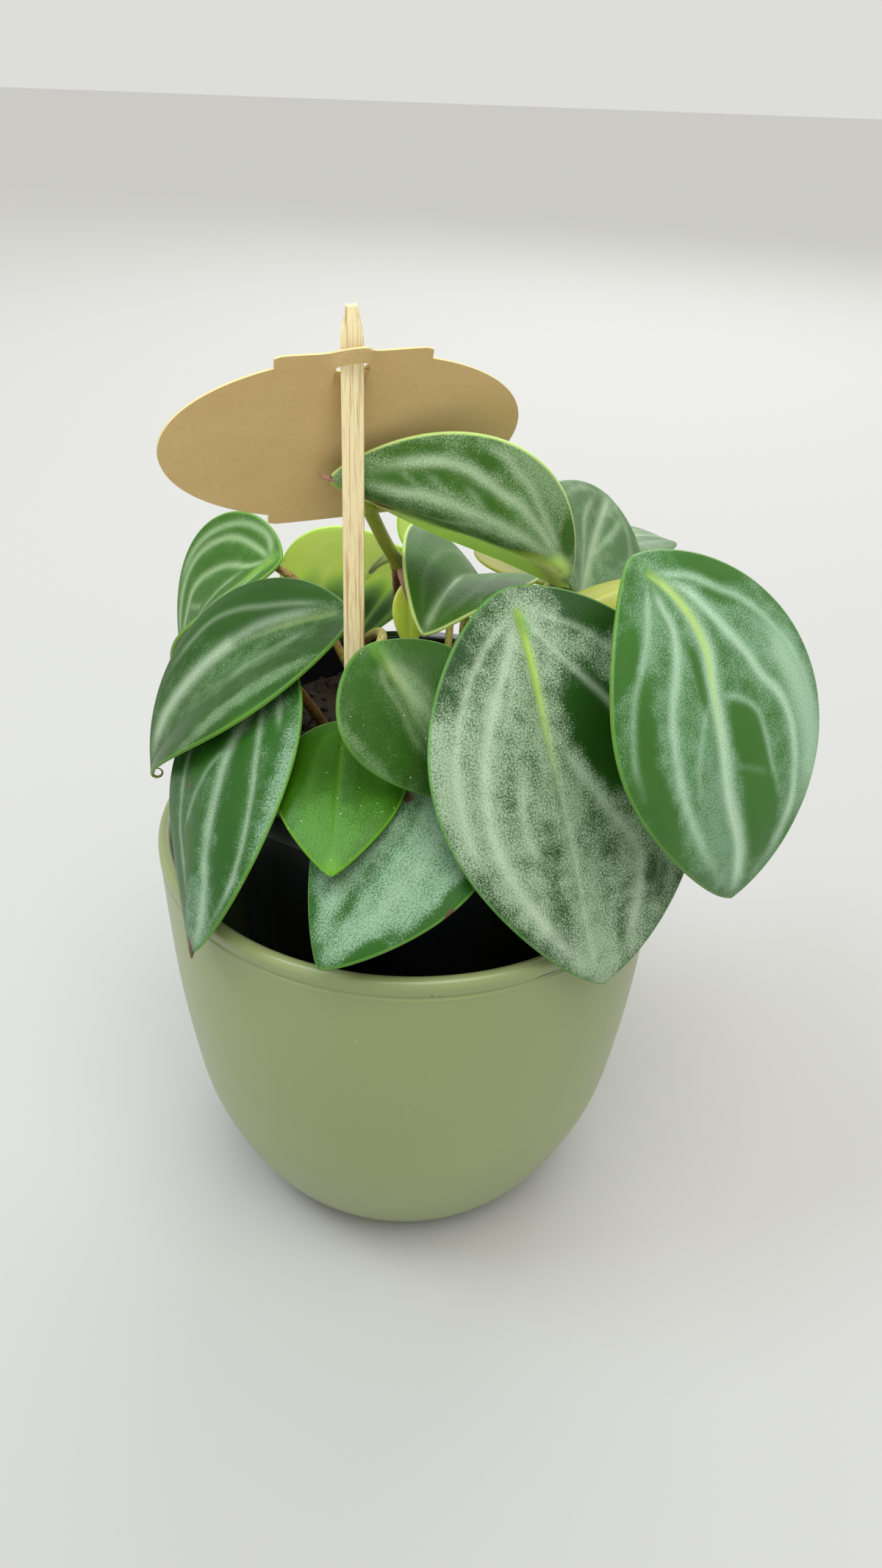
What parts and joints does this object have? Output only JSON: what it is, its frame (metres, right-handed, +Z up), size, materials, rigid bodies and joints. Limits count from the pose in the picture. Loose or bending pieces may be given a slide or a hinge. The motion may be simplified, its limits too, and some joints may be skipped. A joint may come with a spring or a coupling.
{
  "type": "potted peperomia houseplant",
  "caption": "Bushy potted peperomia with thick, pointed, silver-veined leaves in a round-bottomed cachepot, with a blank card on a bamboo stick.",
  "frame": {"origin": "centre of the cachepot's flat foot, on the surface that it stands on", "axes": "+Z up; -Y towards the front, where the stick, the blank card and the two largest leaves show; +X to the right"},
  "size_m": [0.1775, 0.1725, 0.27],
  "materials": {
    "cachepot": "satin sage-green moulded plastic",
    "nursery_pot": "thin black blown plastic, faintly glossy",
    "soil": "dark peat potting mix",
    "bamboo": "pale split bamboo, unvarnished",
    "kraft_card": "plain brown kraft card with a cream core at its edge",
    "stem": "fleshy reddish-brown to olive stem with brown speckles",
    "leaf": "dark green waxy leaf with silver veins and a pale margin",
    "leaf_pale": "pale yellow-green young leaf or leaf underside",
    "leaf_olive": "olive-yellow leaf underside"
  },
  "bodies": {
    "root": {"cachepot": "cachepot", "nursery_pot": "nursery_pot", "soil": "soil", "label_stick": "bamboo", "label_card": "kraft_card", "stem_back": "stem", "stem_middle": "stem", "stem_right": "stem", "stem_left": "stem", "leaf_front_right": "leaf", "leaf_right_outer": "leaf", "leaf_top": "leaf", "leaf_left_upper": "leaf", "leaf_left_lower": "leaf", "leaf_front_bright": "leaf", "leaf_centre_round": "leaf", "leaf_front_low": "leaf", "leaf_back_left": "leaf", "leaf_back_pale": "leaf_pale", "leaf_centre_hooded": "leaf", "leaf_back_right_tall": "leaf", "leaf_back_right_far": "leaf", "leaf_back_young": "leaf_pale", "leaf_back_olive": "leaf_olive", "leaf_right_small": "leaf_olive", "leaf_rear_middle": "leaf", "leaf_rear_right": "leaf", "leaf_young_front": "leaf_pale"}
  },
  "joints": []
}
